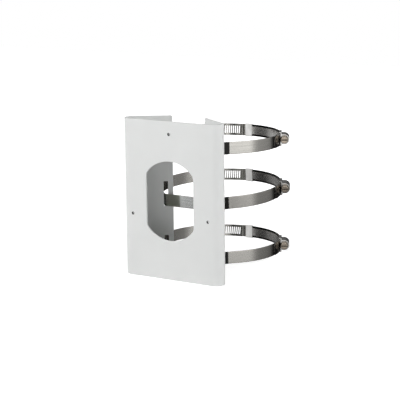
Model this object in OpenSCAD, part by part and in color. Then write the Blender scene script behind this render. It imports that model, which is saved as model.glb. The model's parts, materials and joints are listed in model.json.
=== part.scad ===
// Pole mount bracket for a camera: a folded sheet channel held to a round pole
// by three worm-drive band clamps. Millimetres. The origin is on the pole's
// axis at the channel's mid-height, +Z runs up the pole and -Y faces the camera.

/* [Channel] */
// Height of the folded channel
channel_h = 180; // [160:1:260]
// Width across the two bends
channel_w = 127; // [110:1:170]
// Thickness of the sheet
sheet_t = 2; // [1:0.1:3]
// Outside radius of the two bends
bend_r = 10; // [5:0.5:14]
// Angle between each flange and the front plate
flange_angle = 34; // [26:1:44]
// Gap left between the two flange edges at the back
back_gap = 43; // [34:1:56]
// Radius on the corners of the flange edges
flange_corner_r = 1.5; // [0.5:0.1:4]

/* [Window] */
// Width of the cable window in the front plate
window_w = 62; // [40:1:76]
// Height of the cable window
window_h = 90; // [78:1:120]
// Radius of the window's arched top and bottom
window_arc_r = 39; // [33:0.5:45]
// Radius where the arches run into the straight sides
window_corner_r = 8; // [2:0.5:14]

/* [Camera fixing holes] */
// Bore of the tapped holes, the core of an M4 thread
fixing_d = 3.3; // [2.4:0.1:5]
// Height of the single upper hole above mid-height
fixing_top_z = 75.5; // [64:0.5:84]
// Depth of the lower pair below mid-height
fixing_low_z = 18; // [0:0.5:60]
// Distance between the lower pair
fixing_pitch = 99; // [86:0.5:104]

/* [Band slots] */
// Width of each slot in the flanges
slot_w = 5; // [4.6:0.1:8]
// Height of each slot
slot_h = 29; // [20:0.5:40]
// Corner radius of each slot
slot_corner_r = 0.8; // [0.3:0.1:1.2]
// Distance from the flange edge to the middle of a slot
slot_inset = 8.4; // [6:0.1:14]
// Distance from each end of the channel to the middle of the nearest slot
slot_end = 27; // [20:0.5:34]

/* [Pole and bands] */
// Outside diameter of the pole that the bands close on
pole_d = 139.7; // [120:0.1:170]
// Width of the band strip
band_w = 14.2; // [12:0.1:16]
// Thickness of the band strip
band_t = 0.7; // [0.5:0.05:0.8]
// How far in front of a slot's middle the band passes through it
band_forward = 0.8; // [0:0.1:1.2]
// Radius of the band's bends where it passes the slots
band_bend_r = 3; // [1.5:0.1:5]
// Clearance between two layers of band that lie on each other
lap_gap = 0.1; // [0.05:0.01:0.2]
// Clearance between a band and the lower end of its slot
band_rest_gap = 0.15; // [0.1:0.01:0.4]
// Tilt of the middle clamp, its back raised
middle_tilt = 3; // [0:0.5:4]
// Play left round the pole by the middle clamp, past what its tilt takes
middle_slack = 0.1; // [0:0.05:1]
// Direction of the worm housings from the pole's axis
housing_angle = 28; // [10:1:60]

/* [Band thread] */
// Pitch of the slots that the worm engages
thread_pitch = 2.5; // [2.2:0.1:3.2]
// Width of one worm slot
perforation_w = 1.3; // [1.2:0.05:1.5]
// Length of one worm slot across the band
perforation_l = 9; // [7:0.1:10]
// Lean of the worm slots, the worm's lead angle
perforation_lean = 5; // [0:0.5:6]
// Length of band from the housing's middle to the tip of its tail
tail_l = 31; // [24:0.5:40]
// Plain length at the tip of the tail
tail_margin = 4; // [3:0.1:10]
// Radius of the tail's two corners
tail_corner_r = 3; // [1:0.1:6]
// Length of the perforated stretch from the tip of the tail
perforated_l = 168; // [120:1:190]

/* [Liner] */
// Width of the liner that covers the worm slots
liner_w = 9.6; // [9:0.1:11]
// Length of the liner from the housing's middle
liner_l = 82; // [60:1:96]
// Length of the keeper folded round the band at the liner's end
keeper_l = 9; // [5:0.5:14]
// Thickness of the keeper's folded lips
keeper_t = 0.5; // [0.3:0.05:0.8]
// Reach of the keeper's lips over the band
keeper_lip = 2.4; // [1:0.1:4]
// Clearance between the keeper and the band's edges
keeper_gap = 0.15; // [0.1:0.01:0.3]
// Distance from the keeper to where the band steps in to the pole
step_gap = 1.5; // [1:0.1:4]
// Length of the band's step in to the pole
step_l = 5; // [4:0.5:9]

/* [Worm housing] */
// Length of the housing along the band
housing_l = 18; // [15:0.5:20]
// Wall thickness of the housing
housing_t = 0.9; // [0.6:0.05:1.4]
// Thickness of the housing's two end walls
housing_end_t = 1.4; // [0.8:0.1:2]
// Clearance between the housing and the band's edges and face
housing_gap = 0.25; // [0.15:0.01:0.4]
// Length of each tab that holds the housing to the band's end
tab_l = 3; // [2:0.1:4]
// Depth of each tab into the band's edge
tab_w = 1.5; // [0.8:0.1:2]
// Distance between the two tabs on one side
tab_pitch = 8; // [6:0.1:9]
// Clearance round each tab
tab_gap = 0.1; // [0.05:0.01:0.2]

/* [Worm screw] */
// Outside diameter of the worm
worm_d = 9.5; // [9:0.1:11]
// Depth of the worm's ridges
ridge_h = 0.9; // [0.6:0.05:1]
// Thickness of a ridge at its tip
ridge_tip_w = 0.5; // [0.3:0.05:0.6]
// Thickness of a ridge at its root
ridge_root_w = 1.1; // [0.8:0.05:1.3]
// How far the ridges reach into the band's slots
ridge_reach = 0.55; // [0.3:0.05:0.6]
// Clearance round the worm inside its housing
worm_gap = 0.35; // [0.2:0.05:0.6]
// Diameter of the neck that turns in the front wall
neck_d = 7.2; // [6:0.1:7.4]
// Diameter of the pilot that turns in the rear wall
pilot_d = 4.6; // [3.5:0.1:6]
// Play of the worm between its end walls, at each end
end_play = 0.3; // [0.1:0.05:0.5]
// Radial clearance of the neck and the pilot
turning_gap = 0.06; // [0.02:0.01:0.1]
// Diameter of the collar under the head
collar_d = 9.2; // [8:0.1:9.3]
// Thickness of the collar
collar_t = 1.1; // [0.6:0.1:1.6]
// Size of the hexagon across its flats
hex_af = 7.9; // [7:0.1:8]
// Height of the hexagon
hex_h = 4.2; // [3:0.1:6]
// Chamfer on the hexagon's outer edge
hex_chamfer = 0.9; // [0.4:0.1:1.2]
// Width of the driver slot
driver_w = 1.3; // [0.8:0.1:1.8]
// Depth of the driver slot
driver_h = 1.8; // [1:0.1:2.4]

/* [Hidden] */
$fn = 96;
pole_r = pole_d / 2;
// Play left for a cut that passes right through
past = 1;
// Overlap that joins two stretches of one sheet or strip
join = 0.02;
// The same on the band and liner, whose ends run this far in and this much thinner
run_in = 0.1;
thinner = 0.01;

// The channel's section, measured back from its front face
bend_x = channel_w / 2 - bend_r;
bend_turn = 180 - flange_angle;
inner_r = bend_r - sheet_t;
flange_start_x = bend_x + inner_r * sin(bend_turn);
flange_start_y = bend_r - inner_r * cos(bend_turn);
flange_l = (flange_start_x - back_gap / 2) / cos(flange_angle);
edge_in = [back_gap / 2, flange_start_y + flange_l * sin(flange_angle)];
edge_out = edge_in + sheet_t * [sin(flange_angle), cos(flange_angle)];

// Distance between neighbouring slots up the flange
slot_pitch = channel_h / 2 - slot_end;

// The pole rests on the outer corners of the two flange edges
pole_y = edge_out[1] + sqrt(pole_r * pole_r - edge_out[0] * edge_out[0]);

// Where the band turns in a slot, in the flange's mid-plane, seen from the pole's axis
turn_inset = slot_inset + band_forward;
turn_x = edge_in[0] + turn_inset * cos(flange_angle) + sheet_t / 2 * sin(flange_angle);
turn_y = edge_in[1] - turn_inset * sin(flange_angle) + sheet_t / 2 * cos(flange_angle) - pole_y;

turn_far = norm([turn_x, turn_y]);

// How much wider the middle band stands because its tilt brings its far upper edge nearer the pole
tilt_take = (pole_r - turn_y) * (1 - cos(middle_tilt)) + band_w * sin(middle_tilt);

// Degrees of a clamp's circle for each millimetre of band
per_mm = 180 / (PI * (pole_r + 1.5 * band_t));
tip_angle = housing_angle - tail_l * per_mm;
fixed_end = housing_angle + (tab_pitch / 2 + tab_l) * per_mm;
liner_end = housing_angle + liner_l * per_mm;
step_start = liner_end + step_gap * per_mm;
step_end = step_start + step_l * per_mm;
pitch_angle = thread_pitch * per_mm;

// The worm, its housing's walls and its ridges
worm_r = worm_d / 2;
tunnel_r = worm_r + worm_gap;
arch_r = tunnel_r + housing_t;
worm_l = housing_l - 2 * (housing_end_t + end_play);
skirt_half = band_w / 2 + housing_gap + housing_t;
hex_r = hex_af / 2 / cos(30);
head_z = housing_l / 2 + end_play;

// Inside radius of a clamp: k is -1, 0 or 1 up the channel
function clamp_r(k) = pole_r + (k == 0 ? middle_slack + tilt_take : 0);
// Turn of the band between its straight run in the channel and its tangent to the pole
function wrap_angle(r) = atan2(turn_x, -turn_y) + acos((r + band_t / 2) / turn_far);
// Inside and outside radius of the band's outer layer, where it laps the liner
function lap_r(r) = r + band_t + lap_gap;
function stack_r(r) = lap_r(r) + band_t;
// Distance of the worm's axis from the pole's axis
function worm_x(r) = stack_r(r) - ridge_reach + worm_r;

white = [0.88, 0.885, 0.88];
steel = [0.68, 0.68, 0.67];
dark_steel = [0.5, 0.5, 0.49];

// A stretch of a round strip between two radii and two angles
module round_strip(r1, r2, a1, a2) {
    steps = ceil((a2 - a1) / 45);
    reach = 1.2 * r2;
    difference() {
        intersection() {
            circle(r2);
            polygon(concat([[0, 0]],
                [for (i = [0 : steps]) reach * [cos(a1 + (a2 - a1) * i / steps), sin(a1 + (a2 - a1) * i / steps)]]));
        }
        circle(r1);
    }
}

// A rectangle with rounded corners, centred
module rounded_rectangle(w, h, r) {
    square([w - 2 * r, h], center = true);
    square([w, h - 2 * r], center = true);
    for (sx = [-1, 1], sy = [-1, 1])
        translate([sx * (w / 2 - r), sy * (h / 2 - r)]) circle(r);
}

// Puts a child on one flange: X along the sheet from its edge, Y up, Z out through it
module on_flange(side) {
    mirror([side < 0 ? 1 : 0, 0, 0])
        translate([edge_in[0], edge_in[1] - pole_y, 0])
            rotate([0, 0, -flange_angle])
                rotate([90, 0, 0])
                    children();
}

// Half of the channel's section, from the middle of the front plate round to the edge
module half_section() {
    translate([-join, 0]) square([bend_x + 2 * join, sheet_t]);
    translate([bend_x, bend_r]) round_strip(inner_r, bend_r, -90, bend_turn - 90);
    translate([flange_start_x, flange_start_y]) rotate(bend_turn)
        translate([-join, -sheet_t]) square([flange_l + join, sheet_t]);
}

// The window's outline: two arches cut by straight sides, the corners rounded
module window_outline() {
    arch_z = window_h / 2 - window_arc_r;
    half = window_w / 2;
    corner_x = half - window_corner_r;
    inner = window_arc_r - window_corner_r;
    corner_z = arch_z + sqrt(inner * inner - corner_x * corner_x);
    touch = [corner_x, corner_z - arch_z] * window_arc_r / inner + [0, arch_z];
    difference() {
        intersection() {
            union() {
                for (s = [-1, 1]) translate([0, s * arch_z]) circle(window_arc_r, $fn = 180);
                square([2 * window_arc_r, 2 * arch_z], center = true);
            }
            square([window_w, window_h + past], center = true);
        }
        for (sx = [0, 1], sz = [0, 1]) mirror([sx, 0]) mirror([0, sz])
            difference() {
                polygon([[corner_x, corner_z], touch, touch + [window_corner_r, 0],
                    [half + past, touch[1]], [half + past, corner_z]]);
                translate([corner_x, corner_z]) circle(window_corner_r);
            }
    }
}

// The folded sheet: front plate, two bends and two flanges, one piece
module bracket() {
    color(white)
        difference() {
            translate([0, -pole_y, -channel_h / 2])
                linear_extrude(channel_h) {
                    half_section();
                    mirror([1, 0]) half_section();
                }
            translate([0, sheet_t - pole_y + past, 0]) rotate([90, 0, 0])
                linear_extrude(sheet_t + 2 * past) window_outline();
            fixing_hole(0, fixing_top_z);
            for (s = [-1, 1]) fixing_hole(s * fixing_pitch / 2, -fixing_low_z);
            for (side = [-1, 1]) on_flange(side) {
                for (k = [-1 : 1]) translate([slot_inset, k * slot_pitch, -sheet_t - past])
                    linear_extrude(sheet_t + 2 * past) rounded_rectangle(slot_w, slot_h, slot_corner_r);
                for (end = [0, 1]) mirror([0, end, 0]) flange_corner();
            }
        }
}

// A tapped hole through the front plate
module fixing_hole(x, z) {
    translate([x, -pole_y + sheet_t + past, z]) rotate([90, 0, 0])
        cylinder(d = fixing_d, h = sheet_t + 2 * past, $fn = 48);
}

// What is cut away to round the lower corner of a flange edge
module flange_corner() {
    translate([0, -channel_h / 2, -sheet_t - past])
        linear_extrude(sheet_t + 2 * past)
            difference() {
                translate([-past, -past]) square(flange_corner_r + past);
                translate([flange_corner_r, flange_corner_r]) circle(flange_corner_r, $fn = 48);
            }
}

// Lays a clamp out at its slots, resting on their lower ends
module at_clamp(k) {
    translate([0, turn_y, k * slot_pitch - slot_h / 2 + band_rest_gap])
        rotate([k == 0 ? middle_tilt : 0, 0, 0])
            translate([0, -turn_y, band_w / 2])
                children();
}

// Turns a child to a place on the clamp's circle: X out from the pole, Y along the band
module at_angle(a) {
    rotate([0, 0, a]) children();
}

// The band's line in plan, one strip from its fixed end to the tip of its tail
module band_plan(r) {
    wrap = wrap_angle(r);
    bend_set = band_bend_r * tan(wrap / 2);
    straight_half = turn_x - bend_set;
    mid_r = r + band_t / 2;
    run_l = sqrt(turn_far * turn_far - mid_r * mid_r) - bend_set;
    translate([-straight_half, turn_y]) straight_run(2 * straight_half);
    for (side = [0, 1]) mirror([side, 0]) {
        translate([straight_half, turn_y + band_bend_r])
            round_strip(band_bend_r - band_t / 2, band_bend_r + band_t / 2, -90, wrap - 90);
        translate(mid_r * [sin(wrap), -cos(wrap)]) rotate(wrap)
            translate([-run_l, 0]) straight_run(run_l);
    }
    round_strip(r, r + band_t, wrap - 90, fixed_end);
    round_strip(r, r + band_t, step_end - run_in / 2 * per_mm, 270 - wrap);
    band_step(r);
    round_strip(lap_r(r), stack_r(r), tip_angle, step_start + run_in / 2 * per_mm);
}

// A straight stretch of the band along X, its ends run into the stretches beyond
module straight_run(l) {
    translate([-run_in, thinner - band_t / 2]) square([l + 2 * run_in, band_t - 2 * thinner]);
}

// The easy S-bend where the band steps out over the liner
module band_step(r) {
    n = 8;
    rise = lap_r(r) - r;
    inner = concat([[lap_r(r) + thinner, step_start - run_in * per_mm]],
        [for (i = [0 : n]) let (u = i / n)
            [lap_r(r) + thinner - rise * u * u * (3 - 2 * u), step_start + (step_end - step_start) * u]],
        [[r + thinner, step_end + run_in * per_mm]]);
    polygon(concat(
        [for (p = inner) (p[0] + band_t - 2 * thinner) * [cos(p[1]), sin(p[1])]],
        [for (i = [n + 2 : -1 : 0]) inner[i][0] * [cos(inner[i][1]), sin(inner[i][1])]]));
}

// One worm slot, cut through a layer of band that starts at radius r
module perforation(a, r) {
    at_angle(a) translate([r + band_t / 2, 0, 0]) rotate([perforation_lean, 0, 0])
        cube([band_t + lap_gap, perforation_w, perforation_l], center = true);
}

// The band with its worm slots, its rounded tail and the notches for the housing's tabs
module band(k) {
    r = clamp_r(k);
    first = ceil((tail_margin - tail_l) / thread_pitch);
    last = floor((perforated_l - tail_l) / thread_pitch);
    color(steel)
        at_clamp(k) difference() {
            linear_extrude(band_w, center = true) band_plan(r);
            for (i = [first : last])
                let (a = housing_angle + i * pitch_angle)
                    if (a < step_start - pitch_angle / 2) perforation(a, lap_r(r));
                    else if (a > step_end + pitch_angle / 2) perforation(a, r);
            for (side = [0, 1]) mirror([0, 0, side]) {
                tail_corner(r);
                for (s = [-1, 1]) notch(r, s);
            }
        }
}

// What is cut away to round the upper corner of the tail
module tail_corner(r) {
    difference() {
        at_angle(tip_angle)
            translate([lap_r(r) - past, tail_corner_r, band_w / 2 - tail_corner_r]) rotate([90, 0, 90])
                linear_extrude(band_t + 2 * past)
                    difference() {
                        translate([-tail_corner_r - past, 0]) square(tail_corner_r + past);
                        circle(tail_corner_r + thinner, $fn = 48);
                    }
        cylinder(r = lap_r(r) - lap_gap / 2, h = 2 * band_w, center = true, $fn = 180);
    }
}

// A tab's place on the band's upper edge, in plan
module tab_plan(r1, r2, s, gap) {
    middle = housing_angle + s * tab_pitch / 2 * per_mm;
    half = (tab_l / 2 + gap) * per_mm;
    round_strip(r1, r2, middle - half, middle + half);
}

// The notch for one tab in the upper edge of the band's fixed end
module notch(r, s) {
    translate([0, 0, band_w / 2 - tab_w - tab_gap])
        linear_extrude(tab_w + past) tab_plan(r - past, r + band_t + lap_gap / 2, s, tab_gap);
}

// One tab, from the housing's upper skirt into its notch
module tab(r, s) {
    translate([0, 0, band_w / 2 - tab_w])
        linear_extrude(tab_w + housing_gap + housing_t / 2) tab_plan(r, r + band_t, s, 0);
}

// The liner under the worm slots and the keeper folded round the band at its end
module liner(k) {
    r = clamp_r(k);
    keeper_start = liner_end - keeper_l * per_mm;
    lip_r = stack_r(r) + keeper_gap;
    edge = band_w / 2 + keeper_gap;
    color(steel)
        at_clamp(k) {
            linear_extrude(liner_w, center = true)
                round_strip(r + thinner, r + band_t - thinner,
                    fixed_end + lap_gap * per_mm, keeper_start + run_in * per_mm);
            difference() {
                linear_extrude(2 * (edge + keeper_t), center = true)
                    round_strip(r, lip_r + keeper_t, keeper_start, liner_end);
                linear_extrude(2 * edge, center = true)
                    round_strip(r + band_t, lip_r, keeper_start - past, liner_end + past);
                linear_extrude(2 * (edge + keeper_t - keeper_lip), center = true)
                    round_strip(lip_r - keeper_gap / 2, lip_r + keeper_t + past, keeper_start - past, liner_end + past);
            }
        }
}

// The housing's outside in section: an arch over the worm on a skirt that straddles the band
module housing_section(r) {
    axis_x = worm_x(r);
    translate([axis_x, 0]) circle(arch_r);
    translate([r, -arch_r]) square([axis_x - r, 2 * arch_r]);
    translate([r - past, -skirt_half]) square([stack_r(r) - r + housing_gap + housing_t + past, 2 * skirt_half]);
}

// The worm's tunnel in section, open towards the band
module tunnel_section(r) {
    translate([worm_x(r), 0]) circle(tunnel_r);
    translate([r, -tunnel_r]) square([worm_x(r) - r, 2 * tunnel_r]);
}

// Stretches a section along the band, its X pointing out from the pole
module along_band(l) {
    rotate([90, 0, 0]) linear_extrude(l, center = true) children();
}

// The housing that holds the worm over the band
module housing(k) {
    r = clamp_r(k);
    color(dark_steel)
        at_clamp(k) {
            difference() {
                at_angle(housing_angle) along_band(housing_l) housing_section(r);
                cylinder(r = r, h = 3 * band_w, center = true, $fn = 180);
                cylinder(r = stack_r(r) + housing_gap, h = band_w + 2 * housing_gap, center = true, $fn = 180);
                at_angle(housing_angle) {
                    along_band(housing_l - 2 * housing_end_t) tunnel_section(r);
                    translate([worm_x(r), 0, 0]) rotate([90, 0, 0]) {
                        cylinder(d = neck_d + 2 * turning_gap, h = housing_l);
                        translate([0, 0, -housing_l]) cylinder(d = pilot_d + 2 * turning_gap, h = housing_l);
                    }
                }
            }
            for (s = [-1, 1], side = [0, 1]) mirror([0, 0, side]) tab(r, s);
        }
}

// The worm's outline: its radius against its distance along the axis
function worm_points() =
    let (n = floor(worm_l / thread_pitch), z0 = -(n - 1) * thread_pitch / 2, core = worm_r - ridge_h)
        concat([[0, -worm_l / 2], [core, -worm_l / 2]],
            [for (i = [0 : n - 1], p = [[core, -ridge_root_w / 2], [worm_r, -ridge_tip_w / 2],
                [worm_r, ridge_tip_w / 2], [core, ridge_root_w / 2]]) [p[0], z0 + i * thread_pitch + p[1]]],
            [[core, worm_l / 2], [0, worm_l / 2]]);

// The hexagon, its outer edge turned down to a chamfer
module hexagon() {
    turned_r = hex_r - hex_chamfer;
    intersection() {
        cylinder(r = hex_r, h = hex_h, $fn = 6);
        translate([0, 0, -past]) cylinder(r1 = turned_r + hex_h + past, r2 = turned_r - past, h = hex_h + 2 * past);
    }
}

// The worm screw: ridges, neck, pilot, collar and slotted hexagon head
module screw(k) {
    color(steel)
        at_clamp(k) at_angle(housing_angle) translate([worm_x(clamp_r(k)), 0, 0]) rotate([90, 0, 0])
            difference() {
                union() {
                    rotate_extrude() polygon(worm_points());
                    cylinder(d = neck_d, h = head_z + collar_t / 2);
                    translate([0, 0, -housing_l / 2]) cylinder(d = pilot_d, h = housing_l / 2);
                    translate([0, 0, head_z]) cylinder(d = collar_d, h = collar_t);
                    translate([0, 0, head_z + collar_t]) hexagon();
                }
                translate([0, 0, head_z + collar_t + hex_h])
                    cube([2 * hex_r, driver_w, 2 * driver_h], center = true);
            }
}

bracket();
band(1);  // top_band
liner(1);  // top_liner
housing(1);  // top_housing
screw(1);  // top_screw
band(0);  // middle_band
liner(0);  // middle_liner
housing(0);  // middle_housing
screw(0);  // middle_screw
band(-1);  // bottom_band
liner(-1);  // bottom_liner
housing(-1);  // bottom_housing
screw(-1);  // bottom_screw
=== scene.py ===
"""A camera bracket for a pole: one folded white sheet and the three worm-drive clamps that hold it.

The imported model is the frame. The sheet and the stamped and turned parts are dressed as
softened copies of their solids. Each clamp's band is threaded from one slot cell by a
Geometry Nodes tree, which lays it along the same line round the pole as the solid band.
All sizes are in millimetres until a mesh is made.
"""
import json
import logging
import math
from dataclasses import dataclass, field
from enum import Enum
from typing import Any, Callable, Sequence

import bmesh
import bpy
import numpy as np
from mathutils import Euler, Matrix, Vector

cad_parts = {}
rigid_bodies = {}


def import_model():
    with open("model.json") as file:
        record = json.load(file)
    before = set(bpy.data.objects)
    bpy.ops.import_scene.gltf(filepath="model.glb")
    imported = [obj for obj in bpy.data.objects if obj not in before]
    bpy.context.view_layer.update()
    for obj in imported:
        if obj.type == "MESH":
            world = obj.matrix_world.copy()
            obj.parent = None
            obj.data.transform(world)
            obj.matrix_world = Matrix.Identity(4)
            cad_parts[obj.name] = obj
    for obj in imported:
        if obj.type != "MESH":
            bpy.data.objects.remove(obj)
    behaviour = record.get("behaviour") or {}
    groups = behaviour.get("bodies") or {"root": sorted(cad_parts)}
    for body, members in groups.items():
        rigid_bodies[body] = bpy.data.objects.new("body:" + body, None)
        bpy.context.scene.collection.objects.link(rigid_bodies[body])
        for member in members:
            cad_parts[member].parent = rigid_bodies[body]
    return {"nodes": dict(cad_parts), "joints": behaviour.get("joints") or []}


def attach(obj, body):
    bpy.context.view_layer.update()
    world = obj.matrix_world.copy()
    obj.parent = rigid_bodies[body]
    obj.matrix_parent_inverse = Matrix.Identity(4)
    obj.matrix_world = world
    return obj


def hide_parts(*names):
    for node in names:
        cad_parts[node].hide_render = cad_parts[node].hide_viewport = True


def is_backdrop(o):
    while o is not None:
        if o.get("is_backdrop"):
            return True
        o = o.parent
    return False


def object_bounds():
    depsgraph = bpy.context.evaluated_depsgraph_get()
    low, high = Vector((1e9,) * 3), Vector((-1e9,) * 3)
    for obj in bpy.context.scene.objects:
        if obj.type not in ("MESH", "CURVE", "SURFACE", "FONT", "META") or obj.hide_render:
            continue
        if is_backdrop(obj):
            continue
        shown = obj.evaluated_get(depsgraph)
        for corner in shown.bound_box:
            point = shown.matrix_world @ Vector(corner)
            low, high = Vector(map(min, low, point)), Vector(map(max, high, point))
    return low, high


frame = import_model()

LOG = logging.getLogger("pole_bracket")
MM = 0.001
BRACKET_BODY = "bracket_and_clamps"


class Tier(Enum):
    """The three clamps, by their place up the channel."""

    BOTTOM = -1
    MIDDLE = 0
    TOP = 1

    @property
    def label(self) -> str:
        """The word that starts the names of this clamp's nodes."""
        return self.name.lower()


class Slot(Enum):
    """The record's material slots."""

    COAT = "white_powder_coat"
    BAND = "band_steel"
    HOUSING = "housing_steel"
    SCREW = "screw_steel"


# ---- node trees ----


class Sketch:
    """Adds nodes to one tree and joins them."""

    def __init__(self, tree: bpy.types.NodeTree) -> None:
        """Keeps the tree.

        Args:
            tree: A shader or geometry node tree.
        """
        self.tree = tree
        self.count = 0

    def add(self, kind: str, inputs: dict[Any, Any] | None = None, **settings: Any) -> bpy.types.Node:
        """Adds a node.

        Args:
            kind: The node's type.
            inputs: Values or sockets for its inputs, by name or number.
            settings: Values for the node's own properties.

        Returns:
            The new node.
        """
        node = self.tree.nodes.new(kind)
        node.location = (220 * (self.count % 12), -260 * (self.count // 12))
        self.count += 1
        for name, value in settings.items():
            setattr(node, name, value)
        for name, value in (inputs or {}).items():
            self.feed(node.inputs[name], value)
        return node

    def feed(self, socket: bpy.types.NodeSocket, value: Any) -> None:
        """Links a socket to another, or sets it to a plain value."""
        if isinstance(value, bpy.types.NodeSocket):
            self.tree.links.new(value, socket)
        else:
            socket.default_value = value

    def sum(self, operation: str, *values: Any) -> bpy.types.NodeSocket:
        """A Math node's answer.

        Args:
            operation: The Math node's operation.
            values: Its one to three values or sockets.

        Returns:
            The socket that holds the answer.
        """
        kind = "ShaderNodeMath"
        return self.add(kind, dict(enumerate(values)), operation=operation).outputs[0]

    def spread(self, value: Any, low: float, high: float, to_low: float, to_high: float) -> bpy.types.NodeSocket:
        """Maps one range of numbers to another, held inside it.

        Args:
            value: The socket to map.
            low: The range's start.
            high: The range's end.
            to_low: What the start becomes.
            to_high: What the end becomes.

        Returns:
            The mapped socket.
        """
        return self.add("ShaderNodeMapRange", {0: value, 1: low, 2: high, 3: to_low, 4: to_high}).outputs[0]

    def tint(self, factor: Any, first: Any, second: Any) -> bpy.types.NodeSocket:
        """Mixes two colours.

        Args:
            factor: The second colour's share.
            first: The colour at 0.
            second: The colour at 1.

        Returns:
            The mixed colour's socket.
        """
        node = self.add("ShaderNodeMix", {"Factor": factor}, data_type="RGBA")
        for socket, value in zip([s for s in node.inputs if s.type == "RGBA"], (first, second)):
            self.feed(socket, value)
        return [s for s in node.outputs if s.type == "RGBA"][0]


# Near-black painted shade, mixed into steel colours where surfaces stand close together.
CREVICE_SHADE = (0.022, 0.018, 0.014)


def crevice_shaded(sk: Sketch, colour: bpy.types.NodeSocket, reach: float, shut: float = 0.3,
           clear: float = 0.85) -> bpy.types.NodeSocket:
    """Paints shade into a steel's colour where surfaces stand close together, read from ambient occlusion.

    Args:
        sk: The sketch of the steel's tree.
        colour: The clean colour.
        reach: How far a neighbour counts, in millimetres.
        shut: The openness at which it is darkest.
        clear: The openness from which it is clean.

    Returns:
        The colour with painted shade in its crevices.
    """
    near = sk.add("ShaderNodeAmbientOcclusion", {"Distance": reach * MM}, samples=12)
    return sk.tint(sk.spread(near.outputs["AO"], shut, clear, 0.0, 1.0), CREVICE_SHADE + (1.0,), colour)


def new_material(name: str) -> tuple[bpy.types.Material, Sketch, bpy.types.Node]:
    """An empty material with one surface shader.

    Args:
        name: The material's name.

    Returns:
        The material, a sketch of its tree and its surface shader.
    """
    material = bpy.data.materials.new(name)
    material.use_nodes = True
    sketch = Sketch(material.node_tree)
    material.node_tree.nodes.clear()
    output = sketch.add("ShaderNodeOutputMaterial")
    surface = sketch.add("ShaderNodeBsdfPrincipled")
    sketch.feed(output.inputs["Surface"], surface.outputs[0])
    return material, sketch, surface


# ---- finishes ----

Colour = tuple[float, float, float]


def shade(colour: Colour, factor: float) -> tuple[float, float, float, float]:
    """A colour made lighter or darker, with full alpha."""
    return tuple(min(1.0, c * factor) for c in colour) + (1.0,)


@dataclass(frozen=True)
class PowderCoat:
    """Baked white powder: a soft gloss over a fine orange peel."""

    colour: Colour = (0.787, 0.797, 0.789)
    roughness: float = 0.42
    peel_size: float = 1.1
    peel_depth: float = 0.012
    drift: float = 0.015

    def material(self) -> bpy.types.Material:
        """Builds the finish's material."""
        material, sk, surface = new_material("powder_coat")
        place = sk.add("ShaderNodeTexCoord").outputs["Object"]
        peel = sk.add("ShaderNodeTexNoise", {"Vector": place, "Scale": 1 / (self.peel_size * MM), "Detail": 2.5,
                                             "Roughness": 0.55})
        cloud = sk.add("ShaderNodeTexNoise", {"Vector": place, "Scale": 28.0, "Detail": 3.0})
        tone = sk.spread(cloud.outputs[0], 0.3, 0.7, 0.0, 1.0)
        sk.feed(surface.inputs["Base Color"],
                sk.tint(tone, shade(self.colour, 1 - self.drift), shade(self.colour, 1 + self.drift)))
        sk.feed(surface.inputs["Roughness"],
                sk.spread(peel.outputs[0], 0.3, 0.7, self.roughness - 0.05, self.roughness + 0.06))
        bump = sk.add("ShaderNodeBump", {"Strength": 0.5, "Distance": self.peel_depth * MM,
                                         "Height": peel.outputs[0]})
        sk.feed(surface.inputs["Normal"], bump.outputs[0])
        surface.inputs["Specular IOR Level"].default_value = 0.45
        return material


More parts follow.
